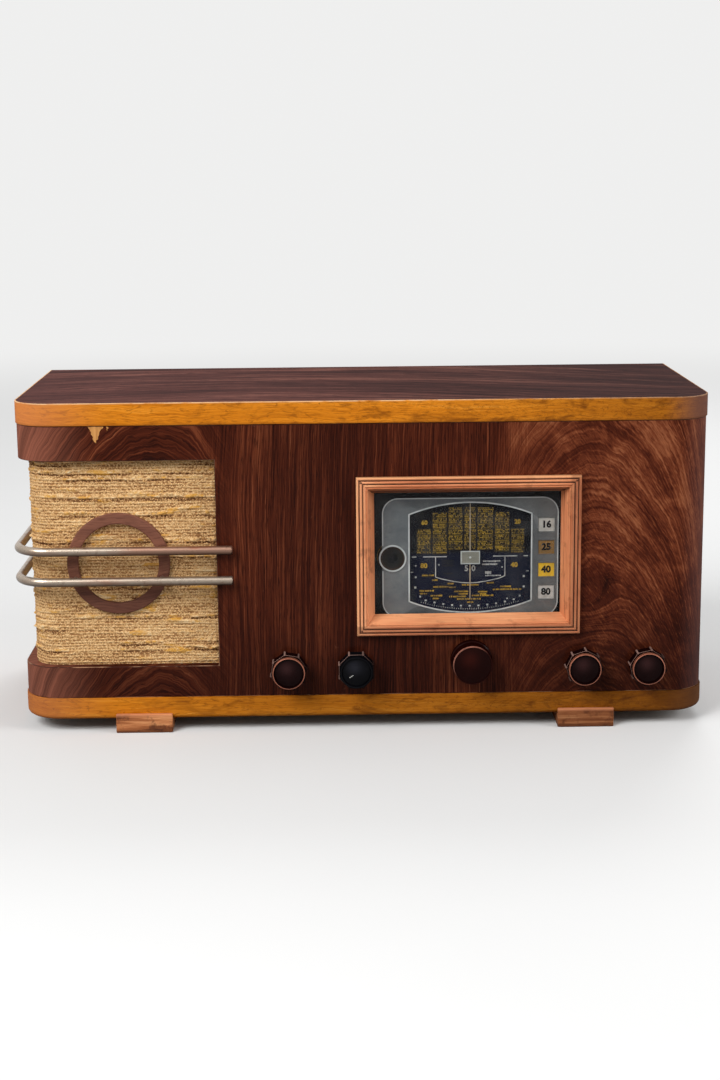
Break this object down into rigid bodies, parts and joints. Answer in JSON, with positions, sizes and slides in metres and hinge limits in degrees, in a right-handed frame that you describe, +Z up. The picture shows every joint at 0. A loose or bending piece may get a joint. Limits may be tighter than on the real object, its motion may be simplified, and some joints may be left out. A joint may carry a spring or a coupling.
{
  "type": "radio receiver",
  "caption": "Table valve radio in a dark veneered cabinet with a wrapped speaker corner, a framed dial with a turning pointer and a row of control knobs.",
  "frame": {"origin": "on the standing surface, under the middle of the overall box", "axes": "+Z up, -Y towards the listener, +X to the right as seen from the front"},
  "size_m": [0.624, 0.282, 0.3],
  "materials": {
    "front_veneer": "polished dark rosewood veneer",
    "top_veneer": "polished dark veneer, grain along the width",
    "maple_band": "polished golden maple",
    "plywood": "bare birch plywood",
    "foot_wood": "painted copper brown wood",
    "grille_cloth": "woven cloth with slubs",
    "ring_wood": "matt brown painted wood",
    "bar_metal": "worn nickel plate",
    "speaker_steel": "grey stoved paint",
    "cone_paper": "pressed paper pulp",
    "magnet_paint": "dark red stoved paint",
    "transformer_iron": "varnished laminations",
    "frame_wood": "copper paint on moulded wood",
    "dial_glass": "clear flat glass",
    "mask_metal": "grey enamel with a light edge line",
    "window_film": "tinted film",
    "scale_print": "dark enamel with golden marks",
    "plated_steel": "dull plated sheet",
    "eye_glass": "glass with a dark target",
    "brass_parts": "dull brass",
    "lamp_glass": "clear lamp glass",
    "drive_cord": "waxed cord",
    "bare_aluminium": "bare spun aluminium",
    "pointer_paint": "cream paint",
    "brown_bakelite": "dark brown bakelite with a copper rim",
    "spindle_steel": "turned steel",
    "black_bakelite": "black bakelite",
    "control_cans": "plated cans on phenolic",
    "phenolic_board": "phenolic board",
    "chassis_steel": "zinc plated pan",
    "black_rubber": "old rubber",
    "valve_glass": "clear glass with a silver top",
    "hardboard": "pressed hardboard"
  },
  "bodies": {
    "cabinet": {"front_panel": "front_veneer", "top_board": "top_veneer", "top_band": "maple_band", "bottom_board": "plywood", "bottom_band": "maple_band", "rear_battens": "plywood", "feet": "foot_wood", "baffle_board": "plywood", "grille_cloth": "grille_cloth", "grille_ring": "ring_wood", "upper_bar": "bar_metal", "lower_bar": "bar_metal", "bar_posts": "bar_metal", "speaker_frame": "speaker_steel", "speaker_surround": "cone_paper", "speaker_magnet": "magnet_paint", "output_transformer": "transformer_iron", "dial_frame": "frame_wood", "dial_glass": "dial_glass", "dial_mask": "mask_metal", "hub_plate": "mask_metal", "band_windows": "window_film", "scale_plate": "scale_print", "dial_support": "plated_steel", "magic_eye": "eye_glass", "eye_clamp": "brass_parts", "lamp_bulbs": "lamp_glass", "lamp_holders": "brass_parts", "drive_cord": "drive_cord", "spindle_bush": "brass_parts", "capacitor_stators": "bare_aluminium", "capacitor_frame": "plated_steel", "potentiometers": "control_cans", "band_switch": "phenolic_board", "chassis": "chassis_steel", "chassis_bolts": "spindle_steel", "power_transformer": "transformer_iron", "mains_grommet": "black_rubber", "rear_sockets": "phenolic_board", "if_cans": "bare_aluminium", "filter_cans": "bare_aluminium", "valve_sockets": "black_bakelite", "valve_bases": "black_bakelite", "valve_bulbs": "valve_glass", "rear_cover": "hardboard", "cover_screws": "spindle_steel"},
    "tuning_drive": {"drive_drum": "bare_aluminium", "capacitor_rotor": "bare_aluminium", "pointer": "pointer_paint"},
    "tuning_control": {"tuning_knob": "brown_bakelite", "tuning_spindle": "spindle_steel"},
    "volume_control": {"volume_knob": "brown_bakelite", "volume_spindle": "spindle_steel"},
    "tone_control": {"tone_knob": "black_bakelite", "tone_spindle": "spindle_steel"},
    "band_control": {"band_knob": "brown_bakelite", "band_spindle": "spindle_steel"},
    "selectivity_control": {"selectivity_knob": "brown_bakelite", "selectivity_spindle": "spindle_steel"},
    "cone": {"speaker_cone": "cone_paper"}
  },
  "joints": [
    {"name": "dial_tuning", "type": "hinge", "parent": "cabinet", "child": "tuning_drive", "pos_m": [0.096, -0.119, 0.15475], "axis": [0, 1, 0], "range_deg": [-88, 88]},
    {"name": "tuning_turn", "type": "hinge", "parent": "cabinet", "child": "tuning_control", "pos_m": [0.096, -0.119, 0.0635], "axis": [0, 1, 0], "range_deg": [-968, 968]},
    {"name": "volume_turn", "type": "hinge", "parent": "cabinet", "child": "volume_control", "pos_m": [-0.0685, -0.119, 0.0575], "axis": [0, 1, 0], "range_deg": [-150, 150]},
    {"name": "tone_turn", "type": "hinge", "parent": "cabinet", "child": "tone_control", "pos_m": [-0.00796, -0.119, 0.0575], "axis": [0, 1, 0], "range_deg": [-150, 150]},
    {"name": "band_turn", "type": "hinge", "parent": "cabinet", "child": "band_control", "pos_m": [0.197, -0.119, 0.0575], "axis": [0, 1, 0], "range_deg": [-60, 30]},
    {"name": "selectivity_turn", "type": "hinge", "parent": "cabinet", "child": "selectivity_control", "pos_m": [0.2543, -0.119, 0.0575], "axis": [0, 1, 0], "range_deg": [-135, 135]},
    {"name": "cone_travel", "type": "slide", "parent": "cabinet", "child": "cone", "axis": [0, 1, 0], "range_m": [-0.001, 0.001], "stiffness_N_per_m": 1500}
  ],
  "couplings": [
    {"joint": "tuning_turn", "follows": "dial_tuning", "ratio": 11}
  ]
}
